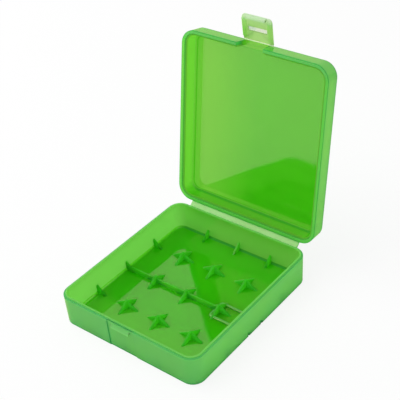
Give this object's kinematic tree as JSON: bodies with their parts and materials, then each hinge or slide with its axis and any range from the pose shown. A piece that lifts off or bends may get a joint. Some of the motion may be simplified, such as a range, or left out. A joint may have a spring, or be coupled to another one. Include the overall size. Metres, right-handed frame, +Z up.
{
  "type": "hinged battery storage case",
  "caption": "Hinged translucent plastic case for thick cylindrical cells, with a snap flap, cell-spacing posts and a socket for a linking clip.",
  "frame": {"origin": "centre of the tray's underside", "axes": "+X along the hinge towards the linking socket, +Y from the latch side to the hinge, +Z up from the surface it stands on, with the lid standing open at 99 degrees"},
  "size_m": [0.0732, 0.1024, 0.1056],
  "materials": {
    "tray_plastic": "glossy translucent green polypropylene",
    "lid_plastic": "glossy translucent green polypropylene",
    "flap_plastic": "thin glossy translucent green polypropylene",
    "strap_plastic": "thin glossy polypropylene, paler where it has been bent"
  },
  "bodies": {
    "tray": {"gusset_back_centre": "tray_plastic", "gusset_back_left": "tray_plastic", "gusset_back_right": "tray_plastic", "gusset_front_centre": "tray_plastic", "gusset_front_left": "tray_plastic", "gusset_front_right": "tray_plastic", "gusset_left_back": "tray_plastic", "gusset_left_front": "tray_plastic", "gusset_left_middle": "tray_plastic", "gusset_right_back": "tray_plastic", "gusset_right_front": "tray_plastic", "latch_catch": "tray_plastic", "post_back_centre": "tray_plastic", "post_back_left": "tray_plastic", "post_back_right": "tray_plastic", "post_front_centre": "tray_plastic", "post_front_left": "tray_plastic", "post_front_right": "tray_plastic", "post_middle_centre": "tray_plastic", "post_middle_left": "tray_plastic", "post_middle_right": "tray_plastic", "rib_centre_left": "tray_plastic", "rib_centre_right": "tray_plastic", "rib_left": "tray_plastic", "socket_curb_back": "tray_plastic", "socket_curb_front": "tray_plastic", "tray_shell": "tray_plastic"},
    "hinge_web": {"hinge_strap": "strap_plastic"},
    "lid": {"lid_shell": "lid_plastic"},
    "flap": {"latch_flap": "flap_plastic", "latch_rail_left": "flap_plastic", "latch_rail_right": "flap_plastic", "latch_hook": "flap_plastic"}
  },
  "joints": [
    {"name": "tray_crease", "type": "hinge", "parent": "tray", "child": "hinge_web", "pos_m": [0, 0.041, 0.01265], "axis": [1, 0, 0], "range_deg": [-40.5, 49.5]},
    {"name": "lid_crease", "type": "hinge", "parent": "hinge_web", "child": "lid", "pos_m": [0, 0.04313, 0.01447], "axis": [1, 0, 0], "range_deg": [-40.5, 49.5]},
    {"name": "flap_crease", "type": "hinge", "parent": "lid", "child": "flap", "pos_m": [-0.00165, 0.06151, 0.09443], "axis": [1, 0, 0], "range_deg": [-45, 72.83]}
  ],
  "couplings": [
    {"joint": "tray_crease", "follows": "lid_crease", "ratio": 1}
  ]
}
